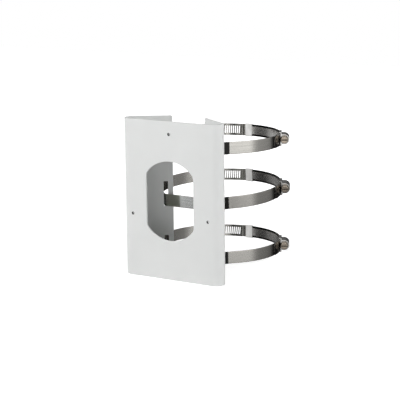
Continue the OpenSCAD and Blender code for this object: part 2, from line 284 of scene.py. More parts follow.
@dataclass(frozen=True)
class BrushedStrip:
    """Rolled stainless strip, brushed along its length. It reads the band's own UV map, in metres."""

    name: str = "brushed_strip"
    colour: Colour = (0.605, 0.59, 0.553)
    roughness: float = 0.2
    streak_l: float = 22.0
    streak_w: float = 0.13
    # Painted reflections beside the slots: near black for mouth_l outside each, dull for inner_l inside the channel,
    # light farther in.
    mouth_l: float = 22.4
    mouth_edge: float = 0.5
    painted_mouth_reflection: Colour = (0.024, 0.024, 0.023)
    inner_l: float = 19.8
    painted_inner_reflection: Colour = (0.44, 0.44, 0.385)
    painted_window_reflection: Colour = (0.74, 0.75, 0.74)

    def material(self) -> bpy.types.Material:
        """Builds the finish's material."""
        material, sk, surface = new_material(self.name)
        uv = sk.add("ShaderNodeUVMap", uv_map="UVMap").outputs[0]
        fine = sk.add("ShaderNodeMapping", {"Vector": uv,
                                            "Scale": (1 / (self.streak_l * MM), 1 / (self.streak_w * MM), 1.0)})
        wide = sk.add("ShaderNodeMapping", {"Vector": uv,
                                            "Scale": (1 / (3 * self.streak_l * MM), 1 / (8 * self.streak_w * MM), 1.0)})
        streak = sk.add("ShaderNodeTexNoise", {"Vector": fine.outputs[0], "Scale": 1.0, "Detail": 3.0,
                                               "Roughness": 0.62})
        smear = sk.add("ShaderNodeTexNoise", {"Vector": wide.outputs[0], "Scale": 1.0, "Detail": 2.0})
        both = sk.sum("ADD", sk.sum("MULTIPLY", streak.outputs[0], 0.65), sk.sum("MULTIPLY", smear.outputs[0], 0.35))
        clean = sk.tint(sk.spread(both, 0.33, 0.67, 0.0, 1.0), shade(self.colour, 0.86), shade(self.colour, 1.12))
        # Painted shade in crevices, set strong so the liner's margins darken, over the painted reflections beside the
        # slots.
        sk.feed(surface.inputs["Base Color"], crevice_shaded(sk, self.painted_by_slot(sk, clean), 4.0, 0.8, 1.0))
        surface.inputs["Metallic"].default_value = 1.0
        sk.feed(surface.inputs["Roughness"], sk.spread(both, 0.3, 0.7, self.roughness + 0.09, self.roughness - 0.06))
        surface.inputs["Anisotropic"].default_value = 0.7
        surface.inputs["Anisotropic Rotation"].default_value = 0.25
        tangent = sk.add("ShaderNodeTangent", direction_type="UV_MAP", uv_map="UVMap")
        sk.feed(surface.inputs["Tangent"], tangent.outputs[0])
        bump = sk.add("ShaderNodeBump", {"Strength": 0.25, "Distance": 0.01 * MM, "Height": streak.outputs[0]})
        sk.feed(surface.inputs["Normal"], bump.outputs[0])
        return material

    def painted_by_slot(self, sk: Sketch, clean: bpy.types.NodeSocket) -> bpy.types.NodeSocket:
        """Paints reflections and shade into the strip by its place beside the sheet, from the band's "from_slot"
        attribute.

        The attribute is the distance from the nearest slot in metres, below zero inside the channel.

        Args:
            sk: The sketch of the strip's tree.
            clean: The strip's colour elsewhere.

        Returns:
            The strip's colour: a near-black painted reflection outside each slot, a dull painted reflection just inside
            it and a light painted reflection farther in.
        """
        away = sk.add("ShaderNodeAttribute", attribute_name="from_slot").outputs["Fac"]
        edge = self.mouth_edge * MM
        outer, inner = self.mouth_l * MM, -self.inner_l * MM
        colour = sk.tint(sk.spread(away, outer - edge, outer + edge, 0.0, 1.0), shade(self.painted_mouth_reflection, 1.0), clean)
        colour = sk.tint(sk.spread(away, -edge, 0.0, 0.0, 1.0), shade(self.painted_inner_reflection, 1.0), colour)
        return sk.tint(sk.spread(away, inner - edge, inner + edge, 0.0, 1.0), shade(self.painted_window_reflection, 1.0), colour)


@dataclass(frozen=True)
class StampedSteel:
    """Pressed stainless sheet with a fine satin grain, on Object coordinates."""

    name: str = "stamped_steel"
    colour: Colour = (0.68, 0.67, 0.65)
    roughness: float = 0.25
    grain: float = 0.5
    metallic: float = 1.0

    def material(self) -> bpy.types.Material:
        """Builds the finish's material."""
        material, sk, surface = new_material(self.name)
        place = sk.add("ShaderNodeTexCoord").outputs["Object"]
        satin = sk.add("ShaderNodeTexNoise", {"Vector": place, "Scale": 1 / (self.grain * MM), "Detail": 2.0})
        patch = sk.add("ShaderNodeTexNoise", {"Vector": place, "Scale": 160.0, "Detail": 2.0})
        clean = sk.tint(sk.spread(patch.outputs[0], 0.35, 0.65, 0.0, 1.0), shade(self.colour, 0.9),
                        shade(self.colour, 1.08))
        # Painted shade in the crevices.
        sk.feed(surface.inputs["Base Color"], crevice_shaded(sk, clean, 2.0))
        surface.inputs["Metallic"].default_value = self.metallic
        sk.feed(surface.inputs["Roughness"],
                sk.spread(satin.outputs[0], 0.3, 0.7, self.roughness - 0.015, self.roughness + 0.02))
        bump = sk.add("ShaderNodeBump", {"Strength": 0.1, "Distance": 0.004 * MM, "Height": satin.outputs[0]})
        sk.feed(surface.inputs["Normal"], bump.outputs[0])
        return material


@dataclass(frozen=True)
class TurnedSteel:
    """Turned steel: rings round the screw's own axis, read from the piece's "turning" attribute."""

    name: str = "turned_steel"
    colour: Colour = (0.40, 0.345, 0.285)
    roughness: float = 0.24
    ring: float = 0.16

    def material(self) -> bpy.types.Material:
        """Builds the finish's material."""
        material, sk, surface = new_material(self.name)
        turning = sk.add("ShaderNodeAttribute", attribute_name="turning").outputs["Vector"]
        squeeze = sk.add("ShaderNodeMapping", {"Vector": turning, "Scale": (1 / (self.ring * MM),
                                                                            1 / (self.ring * MM), 60.0)})
        rings = sk.add("ShaderNodeTexNoise", {"Vector": squeeze.outputs[0], "Scale": 1.0, "Detail": 3.0})
        clean = sk.tint(sk.spread(rings.outputs[0], 0.35, 0.65, 0.0, 1.0), shade(self.colour, 0.75),
                        shade(self.colour, 1.2))
        # Painted shade in the crevices.
        sk.feed(surface.inputs["Base Color"], crevice_shaded(sk, clean, 2.0, 0.3, 0.95))
        surface.inputs["Metallic"].default_value = 1.0
        sk.feed(surface.inputs["Roughness"],
                sk.spread(rings.outputs[0], 0.3, 0.7, self.roughness - 0.07, self.roughness + 0.1))
        bump = sk.add("ShaderNodeBump", {"Strength": 0.5, "Distance": 0.03 * MM, "Height": rings.outputs[0]})
        sk.feed(surface.inputs["Normal"], bump.outputs[0])
        return material


@dataclass(frozen=True)
class Finishes:
    """One material for each finish on the object."""

    coat: bpy.types.Material
    strip: bpy.types.Material
    stamped: bpy.types.Material
    turned: bpy.types.Material
    keeper_highlight: bpy.types.Material
    thread: bpy.types.Material

    @classmethod
    def mixed(cls) -> "Finishes":
        """Builds every finish once."""
        return cls(PowderCoat().material(), BrushedStrip().material(), StampedSteel().material(),
                   # The keeper's pale, half-metal colour is a painted highlight.
                   TurnedSteel().material(), StampedSteel("polished_steel", (0.9, 0.895, 0.88), 0.3,
                                                         metallic=0.45).material(),
                   # Near-black colour: painted shade inside the fixing holes.
                   StampedSteel("bare_thread", (0.02, 0.019, 0.018), 0.38).material())


# ---- mesh helpers ----


def link(name: str, mesh: bpy.types.Mesh) -> bpy.types.Object:
    """Puts a mesh into the scene as an object at the origin."""
    thing = bpy.data.objects.new(name, mesh)
    bpy.context.scene.collection.objects.link(thing)
    return thing


def baked(thing: bpy.types.Object, name: str) -> bpy.types.Object:
    """Turns an object and its modifiers into a plain mesh, and removes the first object.

    Args:
        thing: The object, with its modifiers.
        name: The new piece's name.

    Returns:
        The new object, at the origin.
    """
    graph = bpy.context.evaluated_depsgraph_get()
    mesh = bpy.data.meshes.new_from_object(thing.evaluated_get(graph), preserve_all_data_layers=True, depsgraph=graph)
    bpy.data.objects.remove(thing)
    mesh.name = name
    return link(name, mesh)


def settle(piece: bpy.types.Object, body: str, slot: Slot, *nodes: str) -> None:
    """Hands a finished piece to its body and hides the nodes it replaces."""
    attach(piece, body)
    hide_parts(*nodes)
    LOG.info("%s: %d faces, rides on %s", piece.name, len(piece.data.polygons), body)


def softened(node: str, name: str, width: float, material: bpy.types.Material, sharp: float = 35.0,
             segments: int = 2) -> bpy.types.Object:
    """A copy of a solid with its sharp edges rounded.

    Args:
        node: The solid's node.
        name: The new piece's name.
        width: The rounding's width, in millimetres.
        material: The piece's finish.
        sharp: Edges that turn by more degrees than this are rounded.
        segments: Faces across each rounding.

    Returns:
        The piece, before it rides.
    """
    mesh = frame["nodes"][node].data.copy()
    work = bmesh.new()
    work.from_mesh(mesh)
    bmesh.ops.remove_doubles(work, verts=work.verts, dist=0.015 * MM)
    bmesh.ops.dissolve_degenerate(work, edges=work.edges, dist=0.005 * MM)
    bmesh.ops.dissolve_limit(work, angle_limit=math.radians(0.4), verts=work.verts, edges=work.edges)
    for face in work.faces:
        face.smooth = True
    work.to_mesh(mesh)
    work.free()
    mesh.materials.clear()
    mesh.materials.append(material)
    thing = link(name + "_start", mesh)
    bevel = thing.modifiers.new("Rounded edges", "BEVEL")
    bevel.width = width * MM
    bevel.segments = segments
    bevel.limit_method = "ANGLE"
    bevel.angle_limit = math.radians(sharp)
    bevel.use_clamp_overlap = False
    bevel.miter_outer = "MITER_ARC"
    normals = thing.modifiers.new("Flat faces", "WEIGHTED_NORMAL")
    normals.keep_sharp = True
    return baked(thing, name)


# ---- sub-assemblies ----


class ThreadTree:
    """The Geometry Nodes tree that winds a screw thread: one ridge swept along a helix."""

    def __init__(self) -> None:
        """Builds the tree once, for every tapped hole."""
        self.tree = bpy.data.node_groups.new("Thread along a helix", "GeometryNodeTree")
        self.tree.interface.new_socket("Geometry", in_out="OUTPUT", socket_type="NodeSocketGeometry")
        self.ids: dict[str, str] = {}
        for name, kind in (("Geometry", "Geometry"), ("Radius", "Float"), ("Pitch", "Float"), ("Turns", "Float"),
                           ("Ridge height", "Float"), ("Ridge root", "Float"), ("Ridge tip", "Float"),
                           ("Finish", "Material")):
            socket = self.tree.interface.new_socket(name, in_out="INPUT", socket_type="NodeSocket" + kind)
            self.ids[name] = socket.identifier
        self._draw(Sketch(self.tree))

    def _draw(self, sk: Sketch) -> None:
        """Draws the nodes."""
        given = sk.add("NodeGroupInput").outputs
        rise = sk.sum("MULTIPLY", given["Pitch"], given["Turns"])
        helix = sk.add("GeometryNodeCurveSpiral", {"Resolution": 24, "Rotations": given["Turns"],
                                                   "Start Radius": given["Radius"], "End Radius": given["Radius"],
                                                   "Height": rise}).outputs[0]
        upright = sk.add("GeometryNodeSetCurveNormal", {0: helix}, mode="Z_UP").outputs[0]
        ridge = sk.add("GeometryNodeCurvePrimitiveQuadrilateral",
                       {"Height": given["Ridge height"], "Bottom Width": given["Ridge root"],
                        "Top Width": given["Ridge tip"], "Offset": 0.0}, mode="TRAPEZOID").outputs[0]
        turned = sk.add("GeometryNodeTransform", {"Geometry": ridge,
                                                  "Rotation": (0.0, 0.0, math.pi / 2)}).outputs[0]
        swept = sk.add("GeometryNodeCurveToMesh", {"Curve": upright, "Profile Curve": turned,
                                                   "Fill Caps": True}).outputs[0]
        joined = sk.add("GeometryNodeJoinGeometry")
        for part in (given["Geometry"], swept):
            self.tree.links.new(part, joined.inputs[0])
        real = sk.add("GeometryNodeRealizeInstances", {0: joined.outputs[0]}).outputs[0]
        done = sk.add("GeometryNodeSetMaterial", {"Geometry": real, "Material": given["Finish"]}).outputs[0]
        sk.feed(sk.add("NodeGroupOutput").inputs[0], done)

    def put_on(self, thing: bpy.types.Object, values: dict[str, Any]) -> None:
        """Gives an object the tree as a modifier.

        Args:
            thing: The object that holds the hole's wall.
            values: The tree's inputs, by name.
        """
        modifier = thing.modifiers.new("Thread", "NODES")
        modifier.node_group = self.tree
        for name, value in values.items():
            modifier[self.ids[name]] = value


@dataclass
class FixingThreads:
    """The bare threads in the sheet's three camera fixing holes, which the coating leaves open, coloured near black as
    painted shade in the holes.
    """

    bore_r: float = 1.65
    wall: float = 0.1
    ridge: float = 0.28
    pitch: float = 0.7
    sheet_t: float = 2.0
    front_y: float = -108.979
    places: tuple[tuple[float, float], ...] = ((0.0, 75.5), (-49.5, -18.0), (49.5, -18.0))

    def sleeve(self) -> bpy.types.Mesh:
        """The bare wall of one hole: a thin ring, its axis along Z, closed all round."""
        count, low, high = 40, 0.12 * MM, (self.sheet_t - 0.12) * MM
        rings = ((self.bore_r + 0.05, low), (self.bore_r + 0.05, high),
                 (self.bore_r - self.wall, high), (self.bore_r - self.wall, low))
        points = [(r * MM * math.cos(a), r * MM * math.sin(a), z) for r, z in rings
                  for a in (2 * math.pi * i / count for i in range(count))]
        faces = [(k * count + i, k * count + (i + 1) % count, (k + 1) % 4 * count + (i + 1) % count,
                  (k + 1) % 4 * count + i) for k in range(4) for i in range(count)]
        mesh = bpy.data.meshes.new("hole_wall")
        mesh.from_pydata(points, [], faces)
        return mesh

    def build(self, finishes: Finishes) -> bpy.types.Object:
        """Winds the three threads and hands them over as one piece.

        Args:
            finishes: The object's materials.

        Returns:
            The threads.
        """
        tree = ThreadTree()
        turns = (self.sheet_t - 0.7) / self.pitch
        start = link("thread_start", self.sleeve())
        tree.put_on(start, {"Radius": (self.bore_r - self.wall - self.ridge / 2 + 0.03) * MM,
                            "Pitch": self.pitch * MM, "Turns": turns, "Ridge height": self.ridge * MM,
                            "Ridge root": 0.55 * MM, "Ridge tip": 0.12 * MM, "Finish": finishes.thread})
        one = baked(start, "one_thread")
        work = bmesh.new()
        for x, z in self.places:
            hole = one.data.copy()
            hole.transform(Matrix.Translation(Vector((x, self.front_y + self.sheet_t, z)) * MM)
                           @ Matrix.Rotation(math.pi / 2, 4, "X"))
            work.from_mesh(hole)
            bpy.data.meshes.remove(hole)
        bmesh.ops.recalc_face_normals(work, faces=work.faces)
        for face in work.faces:
            face.smooth = False
        mesh = one.data.copy()
        mesh.name = "fixing_threads"
        work.to_mesh(mesh)
        work.free()
        bpy.data.objects.remove(one)
        piece = link("fixing_threads", mesh)
        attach(piece, BRACKET_BODY)
        LOG.info("%s: %d faces, rides on %s", piece.name, len(mesh.polygons), BRACKET_BODY)
        return piece


@dataclass
class Sheet:
    """The folded channel: plate, bends and flanges in one coated sheet."""

    edge_round: float = 0.3
    node: str = "bracket"

    def build(self, finishes: Finishes) -> bpy.types.Object:
        """Builds the sheet and hands it over.

        Args:
            finishes: The object's materials.

        Returns:
            The coated sheet.
        """
        piece = softened(self.node, "coated_sheet", self.edge_round, finishes.coat, segments=3)
        settle(piece, BRACKET_BODY, Slot.COAT, self.node)
        return piece


@dataclass
class BandSizes:
    """The sizes that a clamp's line and its slots follow, as in the part's source."""

    pole_r: float = 69.85
    slack: float = 1.0377
    width: float = 14.2
    thickness: float = 0.7
    lap_gap: float = 0.1
    bend_r: float = 3.0
    turn_x: float = 29.686
    turn_y: float = -72.06
    pitch: float = 2.5
    slot_w: float = 1.3
    slot_l: float = 9.0
    lean: float = 5.0
    tail_l: float = 31.0
    tail_margin: float = 4.0
    tail_corner: float = 3.0
    perforated_l: float = 168.0
    liner_l: float = 82.0
    keeper_l: float = 9.0
    step_gap: float = 1.5
    step_l: float = 5.0
    housing_angle: float = 28.0
    tab_l: float = 3.0
    tab_w: float = 1.5
    tab_pitch: float = 8.0
    tab_gap: float = 0.1
    seat_z: float = -14.35
    slot_pitch: float = 63.0
    tilt: float = 3.0

    def clamp_r(self, tier: Tier) -> float:
        """Inside radius of one clamp."""
        return self.pole_r + (self.slack if tier is Tier.MIDDLE else 0.0)

    def degrees_per_mm(self) -> float:
        """Degrees of the clamp's circle for each millimetre of band."""
        return 180 / (math.pi * (self.pole_r + 1.5 * self.thickness))

    def placed(self, tier: Tier) -> Matrix:
        """Where one clamp hangs in its slots, in metres."""
        pivot = Matrix.Translation(Vector((0, self.turn_y, tier.value * self.slot_pitch + self.seat_z)) * MM)
        lean = Euler((math.radians(self.tilt if tier is Tier.MIDDLE else 0.0), 0, 0)).to_matrix().to_4x4()
        return pivot @ lean @ Matrix.Translation(Vector((0, -self.turn_y, self.width / 2)) * MM)


class BandRoute:
    """The band's middle line in plan, from its fixed end to the tip of its tail."""

    def __init__(self, sizes: BandSizes, tier: Tier) -> None:
        """Works the line out.

        Args:
            sizes: The clamp's sizes.
            tier: Which clamp it is.
        """
        self.sizes = sizes
        self.r = sizes.clamp_r(tier)
        mid = self.r + sizes.thickness / 2
        far = math.hypot(sizes.turn_x, sizes.turn_y)
        self.wrap = math.atan2(sizes.turn_x, -sizes.turn_y) + math.acos(mid / far)
        self.per_mm = math.radians(sizes.degrees_per_mm())
        set_in = sizes.bend_r * math.tan(self.wrap / 2)
        half = sizes.turn_x - set_in
        run = math.sqrt(far * far - mid * mid) - set_in
        turn = math.radians(sizes.housing_angle)
        quarter = math.pi / 2
        fixed = turn + (sizes.tab_pitch / 2 + sizes.tab_l) * self.per_mm
        self.step_start = turn + (sizes.liner_l + sizes.step_gap) * self.per_mm
        self.step_end = self.step_start + sizes.step_l * self.per_mm
        self.tip = turn - sizes.tail_l * self.per_mm
        tangent = mid * np.array([math.sin(self.wrap), -math.cos(self.wrap)])
        ahead = -np.array([math.cos(self.wrap), math.sin(self.wrap)])
        bend = sizes.bend_r * self.wrap
        low = sizes.turn_y + sizes.bend_r
        flip = np.array([-1.0, 1.0])

        def near(s: float) -> np.ndarray:
            """A point on the inner layer, from the fixed end."""
            a = fixed - s * self.per_mm
            return mid * np.array([math.cos(a), math.sin(a)])

        def curl(s: float) -> np.ndarray:
            """A point on the bend into the slot."""
            a = self.wrap - quarter - s / sizes.bend_r
            return np.array([half, low]) + sizes.bend_r * np.array([math.cos(a), math.sin(a)])

        def round_pole(s: float) -> np.ndarray:
            """A point on the far side, over the step and on to the tail."""
            a = 3 * quarter - self.wrap - s * self.per_mm
            u = min(1.0, max(0.0, (self.step_end - a) / (self.step_end - self.step_start)))
            r = mid + (sizes.thickness + sizes.lap_gap) * u * u * (3 - 2 * u)
            return r * np.array([math.cos(a), math.sin(a)])

        self.parts: list[tuple[float, Callable[[float], np.ndarray]]] = [
            ((fixed - self.wrap + quarter) / self.per_mm, near),
            (run, lambda s: tangent + s * ahead),
            (bend, curl),
            (2 * half, lambda s: np.array([half - s, sizes.turn_y])),
            (bend, lambda s: flip * curl(bend - s)),
            (run, lambda s: flip * (tangent + (run - s) * ahead)),
            ((3 * quarter - self.wrap - self.tip) / self.per_mm, round_pole),
        ]
        self.starts = np.cumsum([0.0] + [length for length, _ in self.parts])
        self.length = float(self.starts[-1])

    def at(self, s: float) -> np.ndarray:
        """The point at a distance along the line, in millimetres."""
        i = min(len(self.parts) - 1, int(np.searchsorted(self.starts, s, side="right")) - 1)
        return self.parts[i][1](s - self.starts[i])

    def of_angle(self, a: float) -> float:
        """The distance along the line of an angle on its last part, in millimetres."""
        return float(self.starts[6]) + (1.5 * math.pi - self.wrap - a) / self.per_mm

    def mesh(self, step: float) -> bpy.types.Mesh:
        """The line as a mesh of points and edges, evenly spaced.

        Args:
            step: The distance between two points, a whole share of the length.

        Returns:
            The mesh, in metres.
        """
        count = round(self.length / step)
        points = [(*(self.at(min(self.length, i * step)) * MM), 0.0) for i in range(count + 1)]
        mesh = bpy.data.meshes.new("band_route")
        mesh.from_pydata(points, [(i, i + 1) for i in range(count)], [])
        return mesh


class BandTree:
    """The Geometry Nodes tree that threads a band: slot cells in a row, welded, then laid along a route."""

    def __init__(self) -> None:
        """Builds the tree once, for all three bands."""
        self.tree = bpy.data.node_groups.new("Band from slot cells", "GeometryNodeTree")
        self.tree.interface.new_socket("Geometry", in_out="OUTPUT", socket_type="NodeSocketGeometry")
        self.ids: dict[str, str] = {}
        for name, kind in (("Geometry", "Geometry"), ("Slot cell", "Object"), ("Route", "Object"),
                           ("Route step", "Float"), ("Slot pitch", "Float"), ("First far slot", "Float"),
                           ("Far slots", "Int"), ("First tail slot", "Float"), ("Tail slots", "Int"),
                           ("Weld distance", "Float"), ("Finish", "Material")):
            socket = self.tree.interface.new_socket(name, in_out="INPUT", socket_type="NodeSocket" + kind)
            self.ids[name] = socket.identifier
        self._draw(Sketch(self.tree))

    def _draw(self, sk: Sketch) -> None:
        """Draws the nodes."""
        given = sk.add("NodeGroupInput").outputs
        cell = sk.add("GeometryNodeObjectInfo", {"Object": given["Slot cell"]}).outputs["Geometry"]
        route = sk.add("GeometryNodeObjectInfo", {"Object": given["Route"]}).outputs["Geometry"]
        joined = sk.add("GeometryNodeJoinGeometry")
        rows = []
        for first, count in (("First far slot", "Far slots"), ("First tail slot", "Tail slots")):
            start = sk.add("ShaderNodeCombineXYZ", {0: given[first]}).outputs[0]
            pitch = sk.add("ShaderNodeCombineXYZ", {0: given["Slot pitch"]}).outputs[0]
            line = sk.add("GeometryNodeMeshLine", {"Count": given[count], "Start Location": start, "Offset": pitch},
                          mode="OFFSET").outputs[0]
            rows.append(sk.add("GeometryNodeInstanceOnPoints", {"Points": line, "Instance": cell}).outputs[0])
        for row in (given["Geometry"], *rows):
            self.tree.links.new(row, joined.inputs[0])
        flat = sk.add("GeometryNodeRealizeInstances", {0: joined.outputs[0]}).outputs[0]
        whole = sk.add("GeometryNodeMergeByDistance", {"Geometry": flat, "Distance": given["Weld distance"]}).outputs[0]
        place = sk.add("GeometryNodeInputPosition").outputs[0]
        mapped = sk.add("GeometryNodeStoreNamedAttribute", {"Geometry": whole, "Name": "UVMap", "Value": place},
                        data_type="FLOAT2", domain="CORNER").outputs[0]
        apart = sk.add("ShaderNodeSeparateXYZ", {0: place}).outputs
        steps = sk.sum("DIVIDE", apart[0], given["Route step"])
        whole_steps = sk.sum("FLOOR", sk.sum("ADD", steps, 0.0001))
        rest = sk.sum("SUBTRACT", steps, whole_steps)
        ends = [sk.add("GeometryNodeSampleIndex", {"Geometry": route, "Value": place, "Index": index},
                       data_type="FLOAT_VECTOR", domain="POINT", clamp=True).outputs[0]
                for index in (whole_steps, sk.sum("ADD", whole_steps, 1.0))]
        between = sk.add("ShaderNodeVectorMath", {0: ends[0], 1: sk.add(
            "ShaderNodeVectorMath", {0: sk.add("ShaderNodeVectorMath", {0: ends[1], 1: ends[0]},
                                               operation="SUBTRACT").outputs[0], "Scale": rest},
            operation="SCALE").outputs[0]}, operation="ADD").outputs[0]
        lift = sk.add("ShaderNodeCombineXYZ", {2: apart[1]}).outputs[0]
        target = sk.add("ShaderNodeVectorMath", {0: between, 1: lift}, operation="ADD").outputs[0]
        laid = sk.add("GeometryNodeSetPosition", {"Geometry": mapped, "Position": target}).outputs[0]
        real = sk.add("GeometryNodeRealizeInstances", {0: laid}).outputs[0]
        done = sk.add("GeometryNodeSetMaterial", {"Geometry": real, "Material": given["Finish"]}).outputs[0]
        sk.feed(sk.add("NodeGroupOutput").inputs[0], done)

    def put_on(self, thing: bpy.types.Object, values: dict[str, Any]) -> None:
        """Gives an object the tree as a modifier.

        Args:
            thing: The object that holds the band's plain stretches.
            values: The tree's inputs, by name.
        """
        modifier = thing.modifiers.new("Band", "NODES")
        modifier.node_group = self.tree
        for name, value in values.items():
            modifier[self.ids[name]] = value


@dataclass
class Band:
    """One clamp's band: plain by its fixed end, perforated round the far side and on its tail."""

    sizes: BandSizes
    tier: Tier
    edge_round: float = 0.13
    corner_r: float = 0.3

    def z_lines(self) -> list[float]:
        """Heights of the flat strip's long lines."""
        half = self.sizes.width / 2
        notch = half - self.sizes.tab_w - self.sizes.tab_gap
        slot = self.sizes.slot_l / 2
        return [-half, -notch, -slot, slot, notch, half]

    def cell_mesh(self) -> bpy.types.Mesh:
        """One worm slot in its own pitch of strip, laid flat.

        Returns:
            The cell's mesh, in metres, X along the band and Y up it.
        """
        half, w, l, c = self.sizes.pitch / 2, self.sizes.slot_w / 2, self.sizes.slot_l / 2, self.corner_r
        lean = math.radians(self.sizes.lean)
        lines = self.z_lines()
        loop: list[tuple[float, float]] = []
        for sx, sy, first in ((1, 1, 0), (-1, 1, 90), (-1, -1, 180), (1, -1, 270)):
            for turn in (0, 45, 90):
                a = math.radians(first + turn)
                x, y = sx * (w - c) + c * math.cos(a), sy * (l - c) + c * math.sin(a)
                loop.append((x * math.cos(lean) + y * math.sin(lean), y * math.cos(lean) - x * math.sin(lean)))
        points = loop + [(half, y) for y in lines] + [(-half, y) for y in lines]
        right, left = 12, 12 + len(lines)
        faces = [
            (right + 2, right + 3, 0, 11),
            (left + 3, left + 2, 6, 5),
            (right + 3, right + 4, right + 5, left + 5, left + 4, left + 3, 5, 4, 3, 2, 1, 0),
            (left + 2, left + 1, left, right, right + 1, right + 2, 11, 10, 9, 8, 7, 6),
        ]
        mesh = bpy.data.meshes.new("slot_cell")
        mesh.from_pydata([(x * MM, y * MM, 0.0) for x, y in points], [], faces)
        return mesh

    def plain_mesh(self, route: BandRoute, gaps: Sequence[tuple[float, float]]) -> bpy.types.Mesh:
        """The strip's plain stretches, laid flat, with the notches and the round-cornered tail.

        Args:
            route: The band's line.
            gaps: The stretches that the slot cells fill, in millimetres.

        Returns:
            The mesh, in metres.
        """
        sz, lines = self.sizes, self.z_lines()
        tail = route.length - sz.tail_corner
        notches = [(middle - sz.tab_l / 2 - sz.tab_gap, middle + sz.tab_l / 2 + sz.tab_gap)
                   for middle in (sz.tab_l, sz.tab_l + sz.tab_pitch)]
        bends = [(route.starts[i], route.starts[i + 1]) for i in (2, 4)]
        step = (route.of_angle(route.step_end), route.of_angle(route.step_start))
        points: list[tuple[float, float]] = []
        faces: list[tuple[int, ...]] = []
        bounds = [0.0] + [edge for gap in gaps for edge in gap] + [tail]
        for low, high in zip(bounds[0::2], bounds[1::2]):
            marks = {low, high, *np.arange(low, high, 1.25)}
            for a, b, fine in [(a, b, 0.3) for a, b in bends] + [(*step, 0.5)] + [(a, b, 1.6) for a, b in notches]:
                if a >= low - 1e-6 and b <= high + 1e-6:
                    marks = {m for m in marks if m <= a - 0.2 or m >= b + 0.2 or m in (low, high)}
                    marks |= set(np.linspace(a, b, max(2, round((b - a) / fine) + 1)))
            xs = sorted(marks)
            base = len(points)
            points += [(x, y) for x in xs for y in lines]
            for i, (x0, x1) in enumerate(zip(xs, xs[1:])):
                cut = any(a - 1e-6 <= x0 and x1 <= b + 1e-6 for a, b in notches)
                for j in range(len(lines) - 1):
                    if not (cut and j in (0, len(lines) - 2)):
                        a = base + i * len(lines) + j
                        faces.append((a, a + len(lines), a + len(lines) + 1, a + 1))
        last = len(points) - len(lines)
        corner = len(points)
        c = sz.tail_corner
        for sy, first in ((-1, -90), (1, 0)):
            for k in range(1, 8) if sy < 0 else range(0, 7):
                a = math.radians(first + 90 * k / 7)
                points.append((tail + c * math.cos(a), sy * (sz.width / 2 - c) + c * math.sin(a)))
        faces.append((last, *range(corner, len(points)), *range(last + len(lines) - 1, last, -1)))
        mesh = bpy.data.meshes.new("plain_strip")
        mesh.from_pydata([(x * MM, y * MM, 0.0) for x, y in points], [], faces)
        return mesh

    def build(self, tree: BandTree, finishes: Finishes) -> bpy.types.Object:
        """Threads the band and hands it over.

        Args:
            tree: The tree that lays slot cells along a route.
            finishes: The object's materials.

        Returns:
            The finished band.
        """
        sz = self.sizes
        route = BandRoute(sz, self.tier)
        step = route.length / round(route.length / 0.25)
        pitch = sz.pitch * route.per_mm
        turn = math.radians(sz.housing_angle)
        first = math.ceil((sz.tail_margin - sz.tail_l) / sz.pitch)
        last = math.floor((sz.perforated_l - sz.tail_l) / sz.pitch)
        angles = [turn + i * pitch for i in range(last, first - 1, -1)]
        far = [route.of_angle(a) for a in angles if a > route.step_end + pitch / 2]
        near = [route.of_angle(a) for a in angles if a < route.step_start - pitch / 2]
        half = sz.pitch / 2
        gaps = [(far[0] - half, far[-1] + half), (near[0] - half, near[-1] + half)]
        name = self.tier.label + "_strip"
        cell = link("slot_cell", self.cell_mesh())
        line = link("band_route", route.mesh(step))
        thing = link(name + "_flat", self.plain_mesh(route, gaps))
        tree.put_on(thing, {"Slot cell": cell, "Route": line, "Route step": step * MM, "Slot pitch": sz.pitch * MM,
                            "First far slot": far[0] * MM, "Far slots": len(far), "First tail slot": near[0] * MM,
                            "Tail slots": len(near), "Weld distance": 0.01 * MM, "Finish": finishes.strip})
        wall = thing.modifiers.new("Thickness", "SOLIDIFY")
        wall.thickness = sz.thickness * MM
        wall.offset = 0.0
        wall.use_even_offset = True
        edges = thing.modifiers.new("Rolled edges", "BEVEL")
        edges.width = self.edge_round * MM
        edges.segments = 2
        edges.limit_method = "ANGLE"
        edges.angle_limit = math.radians(50)
        edges.use_clamp_overlap = False
        normals = thing.modifiers.new("Flat faces", "WEIGHTED_NORMAL")
        normals.keep_sharp = True
        thing.data.shade_smooth()
        cell.data.shade_smooth()
        piece = baked(thing, name)
        for helper in (cell, line):
            bpy.data.objects.remove(helper)
        self.mark_mouths(piece, route)
        piece.data.transform(sz.placed(self.tier))
        settle(piece, BRACKET_BODY, Slot.BAND, self.tier.label + "_band")
        return piece

    def mark_mouths(self, piece: bpy.types.Object, route: BandRoute) -> None:
        """Stores how far along the band each outer point lies from its slot in the sheet, for the strip's painted
        reflections.

        The distance is below zero inside the channel. The band's inner side counts as far away,
        except along the liner, where its margins take the near-black painted shade.

        Args:
            piece: The band, before it is placed.
            route: The band's line.
        """
        mesh = piece.data
        corners = np.empty(len(mesh.loops), dtype=np.int32)
        mesh.loops.foreach_get("vertex_index", corners)
        uv = np.empty(2 * len(mesh.loops), dtype=np.float32)
        mesh.uv_layers["UVMap"].data.foreach_get("uv", uv)
        along = np.zeros(len(mesh.vertices), dtype=np.float32)
        along[corners] = uv[0::2]
        first, second = ((route.starts[i] + route.starts[i + 1]) / 2 * MM for i in (2, 4))
        away = np.minimum(np.abs(along - first), np.abs(along - second))
        outward = np.array([v.normal.x * v.co.x + v.normal.y * v.co.y for v in mesh.vertices])
        inside = (along > first) & (along < second)
        away = np.where(inside, -away, away - self.tier.value * 1.2 * MM)
        away[outward < 0.3 * self.sizes.pole_r * MM] = 1.0
        # Along the liner the band's inner margins are set to zero, which gives them the near-black painted shade.
        turn = math.radians(self.sizes.housing_angle)
        lined = (route.of_angle(turn + self.sizes.liner_l * route.per_mm) * MM, route.of_angle(turn) * MM)
        away[(along > lined[0]) & (along < lined[1]) & (outward < 0.0)] = 0.0
        mesh.attributes.new("from_slot", "FLOAT", "POINT").data.foreach_set("value", away)


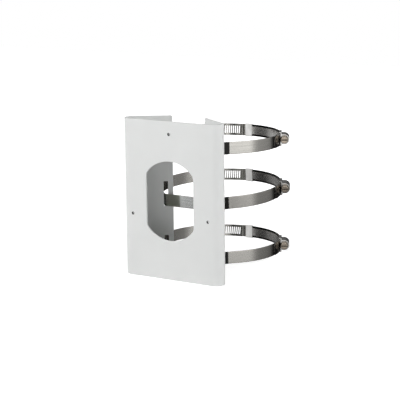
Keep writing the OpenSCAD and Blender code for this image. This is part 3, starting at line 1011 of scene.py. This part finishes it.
@dataclass
class Clamp:
    """One worm-drive clamp: band, liner with its keeper, housing and worm screw."""

    sizes: BandSizes
    tier: Tier
    liner_round: float = 0.14
    housing_round: float = 0.3
    screw_round: float = 0.16

    def build(self, tree: BandTree, finishes: Finishes) -> None:
        """Builds the clamp's four pieces and hands them over.

        Args:
            tree: The tree that lays slot cells along a route.
            finishes: The object's materials.
        """
        label = self.tier.label
        Band(self.sizes, self.tier).build(tree, finishes)
        liner = softened(label + "_liner", label + "_lining", self.liner_round, finishes.stamped)
        self.paint_keeper_highlight(liner, finishes.keeper_highlight)
        settle(liner, BRACKET_BODY, Slot.BAND, label + "_liner")
        housing = softened(label + "_housing", label + "_worm_housing", self.housing_round, finishes.stamped,
                           segments=3)
        settle(housing, BRACKET_BODY, Slot.HOUSING, label + "_housing")
        screw = softened(label + "_screw", label + "_worm_screw", self.screw_round, finishes.turned)
        self.mark_turning(screw)
        settle(screw, label + "_screw", Slot.SCREW, label + "_screw")

    def paint_keeper_highlight(self, liner: bpy.types.Object, finish: bpy.types.Material) -> None:
        """Gives the keeper at the liner's end a pale, half-metal finish, a painted highlight for its bright reflection.

        Args:
            liner: The liner's piece.
            finish: The keeper's painted highlight material.
        """
        sz = self.sizes
        flat = sz.placed(self.tier).inverted()
        liner.data.materials.append(finish)
        start = sz.housing_angle + (sz.liner_l - sz.keeper_l) * sz.degrees_per_mm()
        for face in liner.data.polygons:
            place = flat @ face.center
            if math.degrees(math.atan2(place.y, place.x)) > start - 0.05:
                face.material_index = 1

    def mark_turning(self, screw: bpy.types.Object) -> None:
        """Stores each point's radius from the screw's axis and its place along it, for the turned finish.

        Args:
            screw: The screw's piece.
        """
        joint = next(j for j in frame["joints"] if j["child"] == self.tier.label + "_screw")
        centre = np.array(joint["pos_m"])
        axis = np.array(joint["axis"]) / np.linalg.norm(joint["axis"])
        places = np.array([v.co for v in screw.data.vertices]) - centre
        along = places @ axis
        radius = np.linalg.norm(places - np.outer(along, axis), axis=1)
        values = np.stack([radius, along, np.zeros_like(along)], axis=1).astype(np.float32)
        screw.data.attributes.new("turning", "FLOAT_VECTOR", "POINT").data.foreach_set("vector", values.ravel())


# ---- studio ----


@dataclass
class Lamp:
    """One soft rectangular light."""

    name: str
    place: tuple[float, float, float]
    size: tuple[float, float]
    power: float
    colour: Colour = (1.0, 1.0, 1.0)
    aim: tuple[float, float, float] = (0.0, -0.04, 0.0)

    def build(self) -> bpy.types.Object:
        """Hangs the lamp."""
        data = bpy.data.lights.new(self.name, "AREA")
        data.shape = "RECTANGLE"
        data.size, data.size_y = self.size
        data.energy = self.power
        data.color = self.colour
        lamp = bpy.data.objects.new(self.name, data)
        lamp.location = self.place
        lamp.visible_glossy = False
        lamp.rotation_euler = (Vector(self.aim) - Vector(self.place)).to_track_quat("-Z", "Y").to_euler()
        bpy.context.scene.collection.objects.link(lamp)
        return lamp


@dataclass
class Viewpoint:
    """The photograph's camera, as angles round the object and an aim across its front."""

    azimuth: float = 31.78
    elevation: float = 11.72
    roll: float = -0.66
    focal: float = 1372.7
    distance: float = 1542.1
    aim_right: float = 33.80
    aim_up: float = 89.66
    front_y: float = -108.979
    base_z: float = -90.0
    picture: float = 400.0

    def build(self) -> bpy.types.Object:
        """Sets the camera up and makes it the scene's own."""
        a, e, roll = (math.radians(v) for v in (self.azimuth, self.elevation, self.roll))
        back = Vector((math.sin(a) * math.cos(e), -math.cos(a) * math.cos(e), math.sin(e)))
        right = Vector((math.cos(a), math.sin(a), 0.0))
        up = back.cross(right)
        look = right * self.aim_right + up * self.aim_up + Vector((0.0, self.front_y, self.base_z))
        across = right * math.cos(roll) + up * math.sin(roll)
        rise = up * math.cos(roll) - right * math.sin(roll)
        place = (look + back * self.distance) * MM
        data = bpy.data.cameras.new("camera")
        data.sensor_fit = "HORIZONTAL"
        data.sensor_width = 36.0
        data.lens = 36.0 * self.focal / self.picture
        camera = bpy.data.objects.new("camera", data)
        camera.matrix_world = Matrix.Translation(place) @ Matrix((across, rise, back)).transposed().to_4x4()
        bpy.context.scene.collection.objects.link(camera)
        bpy.context.scene.camera = camera
        return camera


@dataclass
class Studio:
    """A pale floor in a pale room, with soft lamps and two tall light boxes that the steel reflects."""

    floor_size: float = 4.0
    ambient: float = 0.1
    floor_glow: float = 0.62
    boxes: tuple[tuple[float, float], ...] = (
        (-180, 0.36), (-170, 0.3), (-162, 0.1), (-140, 0.06), (-128, 0.1), (-124, 1.0), (-109, 1.0), (-104, 0.05),
        (-82, 0.05), (-76, 1.0), (-56, 1.0), (-50, 0.04), (-40, 0.05), (-35, 0.12), (-31, 0.9), (1, 0.92),
        (10, 0.5), (18, 0.34), (42, 0.28), (52, 0.22), (60, 0.02), (88, 0.01), (110, 0.06), (140, 0.1), (160, 0.36), (180, 0.36))
    box_gain: float = 1.78
    lamps: tuple[Lamp, ...] = field(default_factory=lambda: (
        Lamp("key", (-1.15, -1.25, 1.05), (1.1, 1.1), 29.5),
        Lamp("side", (1.5, -0.25, 0.5), (0.8, 0.8), 14.0),
        Lamp("front", (0.15, -1.9, 0.35), (1.0, 1.0), 1.8),
        Lamp("back", (0.4, 1.6, 1.0), (1.0, 1.0), 7.5),
    ))

    def build(self) -> None:
        """Builds the room, the floor, the lamps and the camera."""
        bpy.context.scene.view_settings.view_transform = "Standard"
        self.room()
        self.floor()
        for lamp in self.lamps:
            lamp.build()
        Viewpoint().build()

    def room(self) -> None:
        """Lights the world: white to the camera, with the two light boxes and the ceiling in reflections."""
        world = bpy.data.worlds.new("room")
        bpy.context.scene.world = world
        world.use_nodes = True
        world.node_tree.nodes.clear()
        sk = Sketch(world.node_tree)
        output = sk.add("ShaderNodeOutputWorld")
        rays = sk.add("ShaderNodeLightPath").outputs
        way = sk.add("ShaderNodeSeparateXYZ", {0: sk.add("ShaderNodeTexCoord").outputs["Generated"]}).outputs
        turn = sk.spread(sk.sum("ARCTAN2", way[1], way[0]), -math.pi, math.pi, 0.0, 1.0)
        ramp = sk.add("ShaderNodeValToRGB", {0: turn})
        marks = ramp.color_ramp.elements
        for i, (angle, level) in enumerate(self.boxes):
            mark = marks[i] if i < 2 else marks.new(0.5)
            mark.position = (angle + 180) / 360
        for mark, (angle, level) in zip(marks, self.boxes):
            mark.position, mark.color = (angle + 180) / 360, (level, level, level, 1.0)
        ceiling = sk.spread(way[2], 0.5, 0.9, 0.0, 0.7)
        height = sk.spread(way[2], -0.235, -0.155, 0.22, self.box_gain)
        boxes = sk.sum("MAXIMUM", sk.sum("MULTIPLY", ramp.outputs[0], height), ceiling)
        seen = sk.add("ShaderNodeMix", {"Factor": rays["Is Glossy Ray"], "A": self.ambient, "B": boxes})
        shown = sk.add("ShaderNodeMix", {"Factor": rays["Is Camera Ray"], "A": seen.outputs[0], "B": 1.0})
        back = sk.add("ShaderNodeBackground", {"Color": (1.0, 1.0, 1.0, 1.0), "Strength": shown.outputs[0]})
        sk.feed(output.inputs["Surface"], back.outputs[0])

    def floor(self) -> None:
        """Lays the floor under the sheet's lower edge."""
        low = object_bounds()[0][2]
        half = self.floor_size / 2
        mesh = bpy.data.meshes.new("floor")
        mesh.from_pydata([(-half, -half, low), (half, -half, low), (half, half, low), (-half, half, low)], [],
                         [(0, 1, 2, 3)])
        floor = link("floor", mesh)
        material, sk, surface = new_material("pale_floor")
        place = sk.add("ShaderNodeTexCoord").outputs["Object"]
        rays = sk.add("ShaderNodeLightPath").outputs
        weave = sk.add("ShaderNodeTexNoise", {"Vector": place, "Scale": 3.0})
        reach = sk.add("ShaderNodeVectorMath", {0: place}, operation="LENGTH").outputs["Value"]
        glow = sk.spread(reach, 0.2, 0.7, self.floor_glow, 1.0)
        sk.feed(surface.inputs["Roughness"], sk.spread(weave.outputs[0], 0.0, 1.0, 0.8, 0.95))
        surface.inputs["Base Color"].default_value = (0.83, 0.83, 0.83, 1.0)
        surface.inputs["Emission Color"].default_value = (1.0, 1.0, 1.0, 1.0)
        sk.feed(surface.inputs["Emission Strength"], sk.sum("MULTIPLY", rays["Is Camera Ray"], glow))
        mesh.materials.append(material)
        floor.visible_glossy = False
        floor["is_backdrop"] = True


def main() -> None:
    """Builds the finishes, the studio and every piece in order."""
    logging.basicConfig(level=logging.INFO, format="%(name)s: %(message)s")
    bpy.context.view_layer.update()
    finishes = Finishes.mixed()
    Studio().build()
    Sheet().build(finishes)
    FixingThreads().build(finishes)
    tree = BandTree()
    sizes = BandSizes()
    for tier in Tier:
        Clamp(sizes, tier).build(tree, finishes)


if __name__ == "__main__":
    main()
